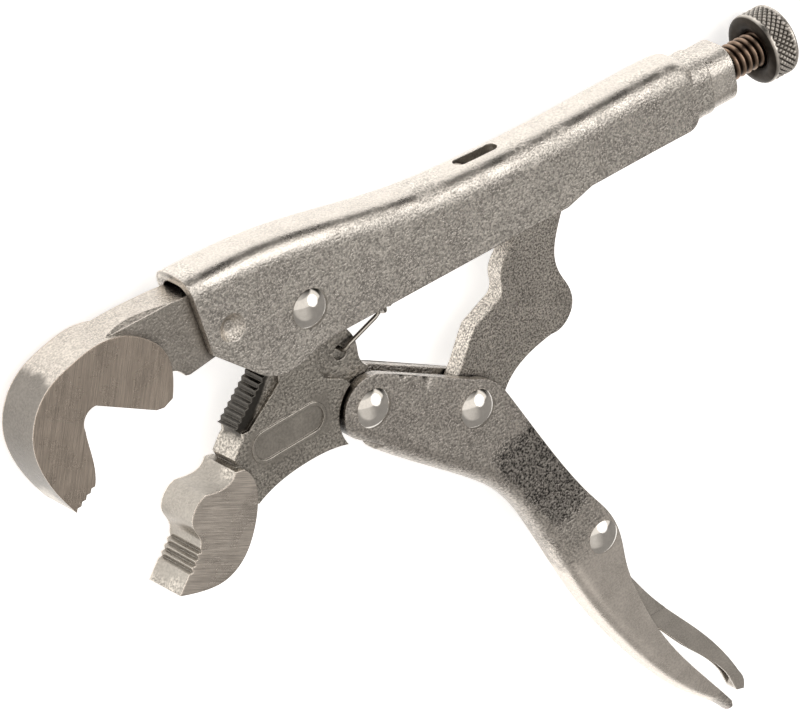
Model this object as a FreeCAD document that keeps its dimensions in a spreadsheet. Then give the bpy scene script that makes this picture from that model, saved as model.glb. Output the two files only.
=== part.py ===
"""Locking pliers with a hooked fixed jaw, built as a parametric assembly of loose pieces.

The tool lies on its side. +Z is the direction of every rivet, +X runs from the jaws to the
knurled knob along the adjusting screw, and +Y points from the lower handle to the upper one.
Everything is drawn with the main rivet's axis at x = y = 0 and the tool's mid-plane at z = 0.
At the end every piece is shifted so that the origin is at the bottom centre of the whole tool.
"""

import FreeCAD
import Part
import math
import os

import Sketcher
from FreeCAD import Placement, Rotation, Vector

DOCUMENT = FreeCAD.newDocument("locking_pliers")

# ---------------------------------------------------------------------------------------------
# Driving dimensions, all in millimetres and degrees
# ---------------------------------------------------------------------------------------------

SIZES = [
    ("handle_sheet", 2.1, "upper handle, sheet thickness"),
    ("handle_length", 106.5, "from the main rivet to the rear end of the handle's walls"),
    ("handle_front", 27.4, "from the main rivet to the front end of the handle's web"),
    ("neck_height", 14.2, "neck behind the handle's walls, seen from the side"),
    ("neck_length", 4.2, "length of that neck"),
    ("grip_width", 9.8, "lower handle, outside width over its two walls"),
    ("grip_sheet", 2.2, "lower handle, sheet thickness"),
    ("grip_corner", 4.0, "rounding of the lower handle's spine"),
    ("grip_length", 121.0, "from the link rivet to the lower handle's tip"),
    ("side_gap", 0.3, "free space beside a piece that swings between two walls"),
    ("seat_gap", 0.02, "free space beside a piece that is fixed between two walls"),
    ("pin_gap", 0.05, "radial free space between a pin or a thread and its hole"),
    ("jaw_width", 11.0, "width of both jaw faces"),
    ("strip_width", 6.0, "width of the toothed strip in the lower jaw"),
    ("lug_gap", 0.2, "free space beside the spring's ear between the lower handle's walls"),
    ("pivot_lobe", 9.0, "radius of the lower jaw around the main rivet"),
    ("grip_pivot_x", 11.2, "rivet of the lower handle on the lower jaw"),
    ("grip_pivot_y", -30.0, "rivet of the lower handle on the lower jaw"),
    ("grip_lobe", 7.5, "radius of the lower handle around that rivet"),
    ("link_pivot_x", 36.6, "rivet of the toggle link in the lower handle"),
    ("link_pivot_y", -43.0, "rivet of the toggle link in the lower handle"),
    ("link_gap", 0.5, "free space beside the toggle link between the lower handle's walls"),
    ("link_end_x", 63.5, "centre of the toggle link's rounded upper end"),
    ("link_end_y", 0.5, "centre of the toggle link's rounded upper end"),
    ("link_end_radius", 5.5, "radius of the toggle link's upper end"),
    ("lever_pivot_x", 62.4, "rivet of the release lever in the lower handle"),
    ("lever_pivot_y", -88.7, "rivet of the release lever in the lower handle"),
    ("lever_sheet", 1.2, "release lever, sheet thickness"),
    ("lever_step", 0.6, "release lever, how far its tail stands in on each side"),
    ("rivet_radius", 2.5, "shank of the three large rivets"),
    ("rivet_head", 4.5, "head radius of the three large rivets"),
    ("rivet_dome", 2.0, "head height of the three large rivets"),
    ("pin_radius", 2.0, "shank of the release lever's rivet"),
    ("pin_head", 4.0, "head radius of the release lever's rivet"),
    ("pin_dome", 1.3, "head height of the release lever's rivet"),
    ("screw_radius", 4.0, "adjusting screw, M8 thread"),
    ("screw_side", 0.15, "free space beside the screw between the upper handle's walls"),
    ("screw_gap", 1.3, "from the screw's tip to the toggle link in the open tool"),
    ("screw_bare", 9.6, "thread that shows between the bush and the knob"),
    ("bush_height", 13.2, "threaded bush, seen from the side"),
    ("bush_length", 6.5, "threaded bush, the length behind the handle's neck"),
    ("bush_spigot", 5.2, "threaded bush, radius of the part pressed into the neck"),
    ("knob_radius", 8.0, "knurled knob, outside"),
    ("knob_length", 7.5, "knurled knob, along the screw"),
    ("spring_wire", 1.0, "tension spring, wire thickness"),
    ("spring_radius", 2.9, "tension spring, outside radius of its coils"),
    ("spring_eye_x", 7.3, "hole for the spring in the lower jaw's ear"),
    ("spring_eye_y", -15.3, "hole for the spring in the lower jaw's ear"),
    ("spring_eye", 1.75, "radius of that hole"),
    ("tab_x", 49.0, "tab in the upper handle that the spring hangs on"),
    ("handle_width", "=2 * screw_radius + 2 * screw_side + 2 * handle_sheet",
     "upper handle, outside width over its two walls"),
    ("lug_width", "=grip_width - 2 * grip_sheet - 2 * lug_gap",
     "width of the ear that holds the spring"),
    ("link_thickness", "=grip_width - 2 * grip_sheet - 2 * link_gap",
     "toggle link, plate thickness"),
    ("lever_tail", "=grip_width - 2 * grip_sheet - 2 * side_gap - 2 * lever_step",
     "release lever, width of its tail"),
]


def make_sheet():
    """Write the driving dimensions into the document's spreadsheet."""
    table = DOCUMENT.addObject("Spreadsheet::Sheet", "Sizes")
    for row, (alias, value, meaning) in enumerate(SIZES, start=1):
        table.set(f"A{row}", alias)
        table.set(f"B{row}", str(value))
        table.set(f"C{row}", meaning)
        table.setAlias(f"B{row}", alias)
    DOCUMENT.recompute()
    return table


SHEET = make_sheet()


def size(alias):
    """Give the number in the spreadsheet's cell of that alias."""
    return float(SHEET.get(alias))


def cell(expression):
    """Turn words of the spreadsheet, such as 'grip_width - 2 * grip_sheet', into an expression."""
    words = [f"Sizes.{word}" if word in ALIASES else word for word in expression.split()]
    return " ".join(words)


ALIASES = {alias for alias, value, meaning in SIZES}

MAIN_PIVOT = Vector(0, 0, 0)
GRIP_PIVOT = Vector(size("grip_pivot_x"), size("grip_pivot_y"), 0)
LINK_PIVOT = Vector(size("link_pivot_x"), size("link_pivot_y"), 0)
LINK_END = Vector(size("link_end_x"), size("link_end_y"), 0)
LEVER_PIVOT = Vector(size("lever_pivot_x"), size("lever_pivot_y"), 0)
SPRING_EYE = Vector(size("spring_eye_x"), size("spring_eye_y"), 0)


# ---------------------------------------------------------------------------------------------
# Outlines: lines, arcs and splines chained from point to point
# ---------------------------------------------------------------------------------------------

class Outline:
    """A closed chain of lines, three-point arcs and splines in a sketch's own plane."""

    def __init__(self, start):
        self.start = Vector(start[0], start[1], 0)
        self.here = self.start
        self.curves = []

    def line(self, *points):
        """Straight runs to each point in turn."""
        for point in points:
            there = Vector(point[0], point[1], 0)
            self.curves.append(Part.LineSegment(self.here, there))
            self.here = there
        return self

    def arc(self, via, end):
        """A round stretch through one point."""
        middle = Vector(via[0], via[1], 0)
        there = Vector(end[0], end[1], 0)
        self.curves.append(Part.Arc(self.here, middle, there))
        self.here = there
        return self

    def spline(self, *points):
        """One smooth curve through all the points."""
        chain = [self.here] + [Vector(x, y, 0) for x, y in points]
        curve = Part.BSplineCurve()
        curve.interpolate(chain)
        self.curves.append(curve)
        self.here = chain[-1]
        return self

    def close(self):
        """A last straight run back to the start."""
        if self.here.distanceToPoint(self.start) > 1e-6:
            self.line((self.start.x, self.start.y))
        return self


def on_circle(centre, radius, degrees):
    """The point of a circle at an angle, counted from +X towards +Y."""
    turn = math.radians(degrees)
    return (centre.x + radius * math.cos(turn), centre.y + radius * math.sin(turn))


def saw(start, end, count, depth):
    """Corners of a row of notches between two points, cut to the left of the run."""
    first = Vector(start[0], start[1], 0)
    step = (Vector(end[0], end[1], 0) - first) / count
    side = Vector(-step.y, step.x, 0).normalize() * depth
    corners = []
    for index in range(count):
        root = first + step * (index + 0.5) + side
        crest = first + step * (index + 1)
        corners += [(root.x, root.y), (crest.x, crest.y)]
    return corners


# ---------------------------------------------------------------------------------------------
# Helpers around PartDesign
# ---------------------------------------------------------------------------------------------

def new_body(label):
    """An empty body whose label names the piece."""
    body = DOCUMENT.addObject("PartDesign::Body", label)
    body.Label = label
    return body


def origin_plane(body, role):
    """One of the body's own origin planes."""
    return next(feature for feature in body.Origin.OriginFeatures if feature.Role == role)


def new_sketch(body, name, role="XY_Plane", along=None, at=None):
    """An empty sketch on an origin plane, moved along its normal or placed at a point of it."""
    sketch = body.newObject("Sketcher::SketchObject", name)
    sketch.AttachmentSupport = [(origin_plane(body, role), "")]
    sketch.MapMode = "FlatFace"
    if along is not None:
        sketch.setExpression("AttachmentOffset.Base.z", along)
    if at is not None:
        sketch.setExpression("AttachmentOffset.Base.x", cell(at[0]))
        sketch.setExpression("AttachmentOffset.Base.y", cell(at[1]))
    return sketch


def outline_sketch(body, name, outline, role="XY_Plane", along=None):
    """A sketch that holds an outline."""
    sketch = new_sketch(body, name, role, along)
    for curve in outline.close().curves:
        sketch.addGeometry(curve, False)
    return sketch


def circle_sketch(body, name, at, radius):
    """A sketch with one circle whose centre and radius follow the spreadsheet."""
    sketch = new_sketch(body, name, at=at)
    ring = sketch.addGeometry(Part.Circle(Vector(), Vector(0, 0, 1), 1.0), False)
    sketch.addConstraint(Sketcher.Constraint("Coincident", ring, 3, -1, 1))
    index = sketch.addConstraint(Sketcher.Constraint("Radius", ring, 1.0))
    sketch.setExpression(f"Constraints[{index}]", cell(radius))
    return sketch


def volume_of(body):
    """Volume of the body so far, nothing for an empty one."""
    DOCUMENT.recompute()
    return 0.0 if body.Shape.isNull() else body.Shape.Volume


def pad(body, sketch, width):
    """Grow a sketch to both sides of the mid-plane."""
    before = volume_of(body)
    feature = body.newObject("PartDesign::Pad", sketch.Name + "_pad")
    feature.Profile = sketch
    feature.Midplane = True
    feature.setExpression("Length", cell(width))
    if volume_of(body) <= before:
        raise RuntimeError(f"{feature.Name} adds nothing")
    return feature


def pocket(body, sketch, width):
    """Cut a sketch out to both sides of the mid-plane."""
    before = volume_of(body)
    feature = body.newObject("PartDesign::Pocket", sketch.Name + "_pocket")
    feature.Profile = sketch
    feature.Midplane = True
    feature.setExpression("Length", cell(width))
    if volume_of(body) >= before - 1e-3:
        raise RuntimeError(f"{feature.Name} cuts nothing")
    return feature


def revolve(body, sketch, axis, cut=False):
    """Turn a sketch once around one of the sketch's own axes."""
    before = volume_of(body)
    kind = "PartDesign::Groove" if cut else "PartDesign::Revolution"
    feature = body.newObject(kind, sketch.Name + "_turned")
    feature.Profile = sketch
    feature.ReferenceAxis = (sketch, [axis])
    feature.Angle = 360
    change = volume_of(body) - before
    if change * (-1 if cut else 1) <= 0:
        raise RuntimeError(f"{feature.Name} changes nothing")
    return feature


def trim_to(body, name, outline, width):
    """Cut away everything outside an outline in the side view."""
    sketch = outline_sketch(body, name, outline)
    frame = Outline((-300.0, -400.0)).line((400.0, -400.0), (400.0, 300.0), (-300.0, 300.0))
    for curve in frame.close().curves:
        sketch.addGeometry(curve, False)
    return pocket(body, sketch, width)


def narrow(body, name, outline, level):
    """Cut everything inside an outline that lies beyond a level, away from the mid-plane."""
    before = volume_of(body)
    sketch = outline_sketch(body, name, outline, along=str(round(level, 4)))
    feature = body.newObject("PartDesign::Pocket", name + "_pocket")
    feature.Profile = sketch
    feature.Length = 10.0
    feature.Reversed = level > 0
    if volume_of(body) >= before:
        raise RuntimeError(f"{name} cuts nothing")


def drill(body, name, at, radius, depth="jaw_width * 3"):
    """A round hole through the piece along Z."""
    return pocket(body, circle_sketch(body, name, at, radius), depth)


# ---------------------------------------------------------------------------------------------
# Upper handle: pressed channel, open downwards
# ---------------------------------------------------------------------------------------------

# Stations along the handle: distance from the main rivet, height of the web's outside,
# rounding of the web's edges. The front end is a little flatter, the rear is nearly round.
WEB_STATIONS = [
    (-size("handle_front") - 1.0, 19.4, 4.4),
    (-14.0, 19.1, 4.7),
    (0.0, 17.7, 5.0),
    (14.0, 15.0, 5.2),
    (32.0, 11.7, 5.3),
    (52.0, 10.1, 5.3),
    (78.0, 9.7, 5.3),
    (size("handle_length") - 5.5, 9.7, 5.3),
    (size("handle_length") - 2.2, 9.2, 5.3),
    (size("handle_length"), 7.4, 5.3),
]
HANDLE_FLOOR = -8.6
HANDLE_TAIL_FLOOR = -6.7
WELL_BELOW = -30.0


def web_height(x):
    """Height of the web's outside above the screw's axis, straight between the stations."""
    for (x0, top0, corner0), (x1, top1, corner1) in zip(WEB_STATIONS, WEB_STATIONS[1:]):
        if x <= x1:
            return top0 + (top1 - top0) * (x - x0) / (x1 - x0)
    return WEB_STATIONS[-1][1]


def channel_section(half_width, top, corner, bottom):
    """An upright section with rounded upper corners, drawn in (y, z)."""
    inset = corner * (1 - math.sqrt(0.5))
    outline = Outline((bottom, -half_width))
    outline.line((top - corner, -half_width))
    outline.arc((top - inset, -half_width + inset), (top, -half_width + corner))
    outline.line((top, half_width - corner))
    outline.arc((top - inset, half_width - inset), (top - corner, half_width))
    outline.line((bottom, half_width))
    return outline


def upright(point, direction):
    """A placement whose own X runs along a level direction and whose own Y points up."""
    along = Vector(direction[0], direction[1], 0).normalize()
    up = Vector(0, 0, 1)
    return Placement(Vector(point[0], point[1], 0), Rotation(along, up, along.cross(up), "ZXY"))


def loft(body, kind, name, sections):
    """Loft through upright sections, given as (placement, outline) pairs."""
    before = volume_of(body)
    sketches = []
    for index, (placement, outline) in enumerate(sections):
        sketch = outline_sketch(body, f"{name}_{index}", outline)
        sketch.AttachmentOffset = placement
        sketches.append(sketch)
    DOCUMENT.recompute()
    feature = body.newObject(kind, name)
    feature.Profile = sketches[0]
    feature.Sections = sketches[1:]
    feature.Ruled = False
    if volume_of(body) == before:
        raise RuntimeError(f"{name} changes nothing")
    return feature


def handle_side_outline():
    """The handle as seen from the side: front end, rivet lobe, two-step lower edge, tail."""
    front = -size("handle_front")
    tail = size("handle_length")
    lobe_centre = Vector(-7.5, 0, 0)
    lobe = 11.1
    outline = Outline((front - 0.5, 25.0))
    outline.line((front + 2.7, 1.0))
    outline.line(on_circle(lobe_centre, lobe, 223))
    outline.arc(on_circle(lobe_centre, lobe, 258), on_circle(lobe_centre, lobe, 294))
    outline.spline((1.5, HANDLE_FLOOR - 0.35), (8.0, HANDLE_FLOOR))
    outline.line((68.0, HANDLE_FLOOR))
    outline.spline((71.5, HANDLE_FLOOR + 0.95), (75.0, HANDLE_TAIL_FLOOR))
    outline.line((tail - 4.0, HANDLE_TAIL_FLOOR))
    outline.arc((tail - 1.2, HANDLE_TAIL_FLOOR + 1.2), (tail, HANDLE_TAIL_FLOOR + 4.0))
    outline.line((tail, 25.0))
    return outline


def build_upper_handle():
    """Channel lofted along the screw, trimmed from the side, with a round neck at its tail."""
    body = new_body("upper_handle")
    half = size("handle_width") / 2
    sheet = size("handle_sheet")
    tail = size("handle_length")
    outside = []
    inside = []
    for station, top, corner in WEB_STATIONS:
        shrink = 0.35 if station == tail else 0.0
        section = channel_section(half - shrink, top, corner, WELL_BELOW)
        outside.append((upright((station, 0), (0, 1)), section))
        reach = station - 3.0 if station == WEB_STATIONS[0][0] else station
        if station < tail - 5.0:
            inner_corner = corner - sheet + 0.5
            section = channel_section(half - sheet, top - sheet, inner_corner, WELL_BELOW - 5)
            inside.append((upright((reach, 0), (0, 1)), section))
    loft(body, "PartDesign::AdditiveLoft", "handle_outside", outside)

    trim_to(body, "handle_trim", handle_side_outline(), "handle_width * 2")
    loft(body, "PartDesign::SubtractiveLoft", "handle_inside", inside)

    sleeve(body, "neck", tail - 2.0, size("neck_length") + 2.0, half - 0.1,
           size("neck_height") / 2)
    seat = Outline((tail - 5.0, 0)).line((tail - 5.0, size("bush_spigot")))
    seat.line((tail + size("neck_length") + 1, size("bush_spigot")))
    seat.line((tail + size("neck_length") + 1, 0))
    revolve(body, outline_sketch(body, "bush_seat", seat), "H_Axis", cut=True)
    throat = Outline((tail - 7.0, 0)).line((tail - 7.0, size("screw_radius") + 0.1))
    throat.line((tail - 4.0, size("screw_radius") + 0.1), (tail - 4.0, 0))
    revolve(body, outline_sketch(body, "screw_throat", throat), "H_Axis", cut=True)

    drill(body, "main_rivet_hole", ("0", "0"), "rivet_radius")
    add_crimps(body)
    add_spring_tab(body)
    return body


def sleeve(body, name, start, length, half_width, half_height):
    """A well rounded block around the screw's axis, grown along it."""
    corner = half_width * 0.75
    inset = corner * (1 - math.sqrt(0.5))
    straight_y = half_height - corner
    straight_z = half_width - corner
    outline = Outline((-straight_y, -half_width)).line((straight_y, -half_width))
    outline.arc((half_height - inset, -half_width + inset), (half_height, -straight_z))
    outline.line((half_height, straight_z))
    outline.arc((half_height - inset, half_width - inset), (straight_y, half_width))
    outline.line((-straight_y, half_width))
    outline.arc((-half_height + inset, half_width - inset), (-half_height, straight_z))
    outline.line((-half_height, -straight_z))
    outline.arc((-half_height + inset, -half_width + inset), (-straight_y, -half_width))
    before = volume_of(body)
    feature = body.newObject("PartDesign::Pad", name + "_pad")
    feature.Profile = outline_sketch(body, name, outline, "YZ_Plane", str(round(start, 4)))
    feature.Length = length
    if volume_of(body) <= before:
        raise RuntimeError(f"{name} adds nothing")


CRIMP = Vector(-19.0, 4.8, 0)
CRIMP_RADIUS = 3.2
CRIMP_DEPTH = 1.6


def add_crimps(body):
    """A round dimple in each wall, pressed in to hold the fixed jaw."""
    half = size("handle_width") / 2
    for side in (1, -1):
        bowl = Outline((0, side * (half + 0.5))).line((0, side * (half - CRIMP_DEPTH)))
        bowl.line((1.2, side * (half - CRIMP_DEPTH)))
        bowl.arc((2.3, side * (half - 0.85)), (CRIMP_RADIUS, side * half))
        bowl.line((CRIMP_RADIUS, side * (half + 0.5)))
        sketch = new_sketch(body, f"crimp_{'near' if side > 0 else 'far'}", "XZ_Plane")
        sketch.AttachmentOffset = Placement(Vector(CRIMP.x, 0, -CRIMP.y), Rotation())
        for curve in bowl.close().curves:
            sketch.addGeometry(curve, False)
        revolve(body, sketch, "V_Axis", cut=True)


TAB_DEPTH = 5.6


def add_spring_tab(body):
    """An oval slot in the web, with the tab that was bent down out of it."""
    tab_x = size("tab_x")
    slot = Outline((tab_x - 1.6, -1.7)).line((tab_x + 6.2, -1.7))
    slot.arc((tab_x + 7.9, 0), (tab_x + 6.2, 1.7))
    slot.line((tab_x - 1.6, 1.7))
    slot.arc((tab_x - 3.3, 0), (tab_x - 1.6, -1.7))
    before = volume_of(body)
    sketch = outline_sketch(body, "tab_slot", slot, "XZ_Plane")
    cut = body.newObject("PartDesign::Pocket", "tab_slot_pocket")
    cut.Profile = sketch
    cut.Midplane = True
    cut.Length = 60
    if volume_of(body) >= before:
        raise RuntimeError("the tab slot cuts nothing")
    top = web_height(tab_x)
    tab = Outline((tab_x - 3.6, top - 0.4)).line((tab_x - 3.6, top - 2.0))
    tab.spline((tab_x - 1.6, top - 2.9), (tab_x - 0.4, top - TAB_DEPTH))
    tab.line((tab_x + 0.8, top - TAB_DEPTH + 0.2))
    tab.spline((tab_x - 0.6, top - 1.5), (tab_x - 3.6, top - 0.4))
    strip = outline_sketch(body, "tab", tab)
    feature = pad(body, strip, "handle_sheet * 1.4")
    feature.Label = "spring_tab"


# ---------------------------------------------------------------------------------------------
# Upper jaw: forging whose shank is pressed into the handle, with a wide hooked end
# ---------------------------------------------------------------------------------------------

HOOK_TIP = (-63.5, -16.7)


def hook_mouth(outline):
    """The hook's working side, from the tip's small steps to the blunt heel."""
    outline.line(*saw(HOOK_TIP, (-58.0, -13.2), 4, 0.5))
    outline.spline((-57.4, -11.2), (-57.2, -5.0), (-57.3, -0.6))
    outline.arc((-56.4, 2.6), (-53.6, 3.6))
    outline.line((-40.2, -4.3))
    outline.line((-38.3, -4.6))
    outline.line((-35.9, -3.6))


HOOK_BACK = [(-56.5, 14.9), (-63.4, 12.2), (-67.6, 7.8), (-69.6, 1.8), (-69.1, -4.0),
             (-66.6, -11.0), HOOK_TIP]


def build_upper_jaw():
    """Shank between the handle's walls and an 11 mm wide hook with ground sides."""
    body = new_body("upper_jaw")
    under_web = size("handle_sheet") + 1.9
    rear = -(size("pivot_lobe") + 1.2)
    shank = Outline((rear, web_height(rear) - under_web))
    shank.line((-27.0, web_height(-27.0) - under_web))
    shank.spline((-35.0, 16.3), (-43.0, 16.6), (-49.5, 15.0), (-54.0, 11.5))
    shank.line((-49.0, 7.0), (-40.0, 0.9), (-35.6, 0.9))
    shank.spline((-33.8, 1.2), (-32.0, 0.2), (-31.0, -1.2))
    shank.line((-29.9, -1.5), (-23.2, -0.6), (-17.0, 0.5), (rear, 6.0))
    pad(body, outline_sketch(body, "shank", shank),
        "handle_width - 2 * handle_sheet - 2 * seat_gap")
    bevel_shank(body)

    block = Outline((-35.9, -3.6))
    block.spline((-34.9, 0.0), (-34.6, 4.4), (-36.0, 8.4), (-39.4, 12.2), (-44.4, 15.1),
                 (-50.5, 16.0), *HOOK_BACK)
    hook_mouth(block)
    pad(body, outline_sketch(body, "block", block), "jaw_width")
    return body


def bevel_shank(body):
    """Bevel the shank's two long upper edges, which run level in front of the handle."""
    half = size("handle_width") / 2 - size("handle_sheet") - size("seat_gap")
    low = 15.7
    high = 18.0
    sketch = new_sketch(body, "shank_bevels", "YZ_Plane")
    for side in (1, -1):
        corners = Outline((low, side * half)).line((high, side * half))
        corners.line((high, side * (half - high + low)))
        for curve in corners.close().curves:
            sketch.addGeometry(curve, False)
    pocket(body, sketch, "handle_length * 2")


# ---------------------------------------------------------------------------------------------
# Lower jaw: forging with a toothed strip, a wide serrated insert face, an ear and a tail
# ---------------------------------------------------------------------------------------------

STRIP_START = (-11.6, -10.3)
STRIP_END = (-21.9, -19.3)
CARTOUCHE_LEFT = Vector(-15.7, -25.9, 0)
CARTOUCHE_RIGHT = Vector(-3.6, -25.5, 0)


def jaw_bite(outline):
    """The biting side of the lower jaw, from below its neck to the tip's flat."""
    outline.spline((-27.4, -28.7), (-29.6, -28.9), (-33.2, -28.3))
    outline.spline((-36.3, -29.9), (-37.9, -33.2), (-36.9, -36.6), (-37.2, -38.9))
    outline.line(*saw((-37.2, -38.9), (-41.2, -43.4), 4, 0.7))
    outline.line((-44.4, -46.9))


def slot_outline(left, right, radius):
    """A long round-ended outline around two centres."""
    along = (right - left).normalize()
    side = Vector(-along.y, along.x, 0) * radius
    outline = Outline((left.x - side.x, left.y - side.y))
    outline.line((right.x - side.x, right.y - side.y))
    outline.arc((right.x + along.x * radius, right.y + along.y * radius),
                (right.x + side.x, right.y + side.y))
    outline.line((left.x + side.x, left.y + side.y))
    outline.arc((left.x - along.x * radius, left.y - along.y * radius),
                (left.x - side.x, left.y - side.y))
    return outline


def build_lower_jaw():
    """Swinging forging on the main rivet, with the lower handle's rivet in its tail."""
    body = new_body("lower_jaw")
    lobe = size("pivot_lobe")
    relief = size("grip_lobe") + 0.8
    fit = "handle_width - 2 * handle_sheet - 2 * side_gap"

    main = Outline(on_circle(MAIN_PIVOT, lobe, -20))
    main.arc(on_circle(MAIN_PIVOT, lobe, 90), on_circle(MAIN_PIVOT, lobe, 205))
    main.line((-9.6, -13.8))
    main.line((-21.6, -22.6), (-23.9, -25.3), (-22.9, -28.6))
    main.line((-20.4, -37.6))
    main.spline((-15.0, -35.5), (-7.6, -34.4), (0.0, -34.6), (GRIP_PIVOT.x - 7.2, -35.5))
    main.arc(on_circle(GRIP_PIVOT, relief, 175), on_circle(GRIP_PIVOT, relief, 117))
    main.spline((4.6, -19.9), (1.6, -18.1), (0.6, -14.6), (1.6, -11.2), (4.4, -8.9))
    pad(body, outline_sketch(body, "forging", main), fit)

    strip = Outline(STRIP_START)
    strip.line(*saw(STRIP_START, STRIP_END, 9, 0.55))
    strip.line((-20.2, -21.2), (-19.0, -23.0), (-8.0, -14.8), (-6.0, -6.0))
    pad(body, outline_sketch(body, "toothed_strip", strip), "strip_width")

    neck = Outline((-20.6, -20.6))
    neck.spline((-21.4, -24.6), (-22.9, -26.6), (-25.2, -26.8))
    jaw_bite(neck)
    neck.line((-30.0, -40.0), (-14.0, -30.0), (-14.0, -21.0))
    pad(body, outline_sketch(body, "neck", neck), fit)

    nose = Outline((-23.0, -27.3)).line((-25.2, -26.8))
    jaw_bite(nose)
    nose.spline((-38.6, -48.6), (-32.6, -48.9), (-27.6, -46.4), (-24.2, -42.2), (-21.8, -36.9),
                (-21.0, -31.8), (-23.0, -27.3))
    pad(body, outline_sketch(body, "nose", nose), "jaw_width")

    ear = Outline((4.0, -6.0)).line((8.2, -8.9))
    ear.spline((10.4, -11.6), (11.6, -15.0), (11.6, -18.2), (13.6, -21.6))
    ear.line((8.0, -26.0), (-2.0, -22.0), (-2.0, -8.0))
    pad(body, outline_sketch(body, "ear", ear), "lug_width")

    tail_lobe = size("grip_lobe") - size("grip_sheet") - 0.3
    tail = Outline(on_circle(GRIP_PIVOT, tail_lobe, 62))
    tail.arc(on_circle(GRIP_PIVOT, tail_lobe, -60), on_circle(GRIP_PIVOT, tail_lobe, 180))
    tail.line((GRIP_PIVOT.x - 10.0, GRIP_PIVOT.y), (GRIP_PIVOT.x - 10.0, -24.0), (4.0, -18.0))
    pad(body, outline_sketch(body, "tail", tail), "grip_width - 2 * grip_sheet - 2 * side_gap")

    for name, radius, rim in (("cartouche", 3.75, True), ("cartouche_field", 2.95, False)):
        outline = slot_outline(CARTOUCHE_LEFT, CARTOUCHE_RIGHT, radius)
        sketch = outline_sketch(body, name, outline)
        if rim:
            pad(body, sketch, fit + " + 0.5")
        else:
            cut_cartouche_field(body, sketch)
    drill(body, "main_bore", ("0", "0"), "rivet_radius + pin_gap")
    drill(body, "tail_bore", ("grip_pivot_x", "grip_pivot_y"), "rivet_radius + pin_gap")
    drill(body, "spring_eye_hole", ("spring_eye_x", "spring_eye_y"), "spring_eye")
    return body


def cut_cartouche_field(body, sketch):
    """Sink the blank field inside the cartouche's rim on both sides of the forging."""
    floor = "handle_width / 2 - handle_sheet - side_gap - 0.1"
    for name, backwards in (("field_near", False), ("field_far", True)):
        before = volume_of(body)
        copy = new_sketch(body, name, along=cell(floor if not backwards else "- ( " + floor + " )"))
        for curve in sketch.Geometry:
            copy.addGeometry(curve, False)
        feature = body.newObject("PartDesign::Pocket", name + "_pocket")
        feature.Profile = copy
        feature.Length = 3.0
        feature.Reversed = not backwards
        if volume_of(body) >= before:
            raise RuntimeError(f"{name} cuts nothing")


# ---------------------------------------------------------------------------------------------
# Lower handle: pressed channel, open towards the upper handle
# ---------------------------------------------------------------------------------------------

def stretched(point):
    """A point of the lower handle behind the link rivet, moved as its length changes."""
    factor = size("grip_length") / 121.0
    return (LINK_PIVOT.x + (point[0] - 36.6) * factor, LINK_PIVOT.y + (point[1] + 43.0) * factor)


GRIP_LIP = [(44.6, -42.8), (48.9, -52.4), (56.8, -69.4), (61.4, -77.6), (65.3, -84.2),
            (67.0, -90.6), (67.2, -98.0), (69.0, -107.2), (71.8, -116.1), (77.0, -127.0),
            (84.6, -139.0), (90.2, -147.6)]

# Stations along the spine: a point of it, the way it runs there, half the outside width.
GRIP_STATIONS = [
    ((-10.1, -21.9), -41.8, 4.9),
    ((6.0, -36.3), -41.8, 4.9),
    ((18.8, -47.8), -41.8, 4.9),
    ((27.9, -55.3), -42.5, 4.9),
    ((37.6, -64.0), -49.0, 4.9),
    ((44.1, -72.9), -61.0, 4.9),
    ((47.9, -81.7), -68.0, 4.9),
    ((51.5, -91.5), -69.0, 4.9),
    ((56.0, -103.1), -65.0, 4.9),
    ((63.0, -117.0), -59.0, 4.8),
    ((72.6, -132.0), -53.0, 4.4),
    ((81.0, -141.8), -48.0, 3.8),
    ((89.4, -150.4), -45.0, 2.8),
]
LIP_REACH = 34.0


def grip_sections(inset, inner):
    """Sections square to the spine, moved inwards by the sheet for the hollow."""
    sections = []
    for point, heading, half in GRIP_STATIONS:
        if point[0] > 36.6:
            point = stretched(point)
        turn = math.radians(heading)
        inward = (-math.sin(turn), math.cos(turn))
        half = half * size("grip_width") / 9.8
        corner = min(size("grip_corner"), half - 0.3)
        if inner:
            corner = max(corner - inset, 0.8)
        section = channel_section(half - inset, -inset, corner, -LIP_REACH)
        outward = (-inward[0], -inward[1])
        sections.append((upright(point, outward), section))
    return sections


def build_lower_handle():
    """Channel with a well rounded spine, from the lobe on the lower jaw to the narrow tip."""
    body = new_body("lower_handle")
    lobe = size("grip_lobe")
    sheet = size("grip_sheet")
    lip = [stretched(point) for point in GRIP_LIP]

    loft(body, "PartDesign::AdditiveLoft", "grip_outside", grip_sections(0.0, False))
    side = Outline(on_circle(GRIP_PIVOT, lobe, 62))
    side.line((LINK_PIVOT.x + 1.2, LINK_PIVOT.y + 6.6))
    side.arc((LINK_PIVOT.x + 5.2, LINK_PIVOT.y + 4.2), lip[0])
    side.spline(*lip[1:])
    side.line((lip[-1][0] + 0.2, lip[-1][1] - 1.6), (lip[-1][0] - 2.0, lip[-1][1] - 12.0))
    side.line((30.0, -100.0), (GRIP_PIVOT.x - 4.0, GRIP_PIVOT.y - 16.0))
    side.line((GRIP_PIVOT.x + 1.2, GRIP_PIVOT.y - 10.0), on_circle(GRIP_PIVOT, lobe, -110))
    side.arc(on_circle(GRIP_PIVOT, lobe, 160), on_circle(GRIP_PIVOT, lobe, 62))
    trim_to(body, "grip_trim", side, "grip_width * 2")
    hollow = grip_sections(sheet, True)[:-1]
    loft(body, "PartDesign::SubtractiveLoft", "grip_inside", hollow)

    drill(body, "pivot_rivet_hole", ("grip_pivot_x", "grip_pivot_y"), "rivet_radius")
    drill(body, "link_rivet_hole", ("link_pivot_x", "link_pivot_y"), "rivet_radius")
    drill(body, "lever_rivet_hole", ("lever_pivot_x", "lever_pivot_y"), "pin_radius")
    return body


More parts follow.
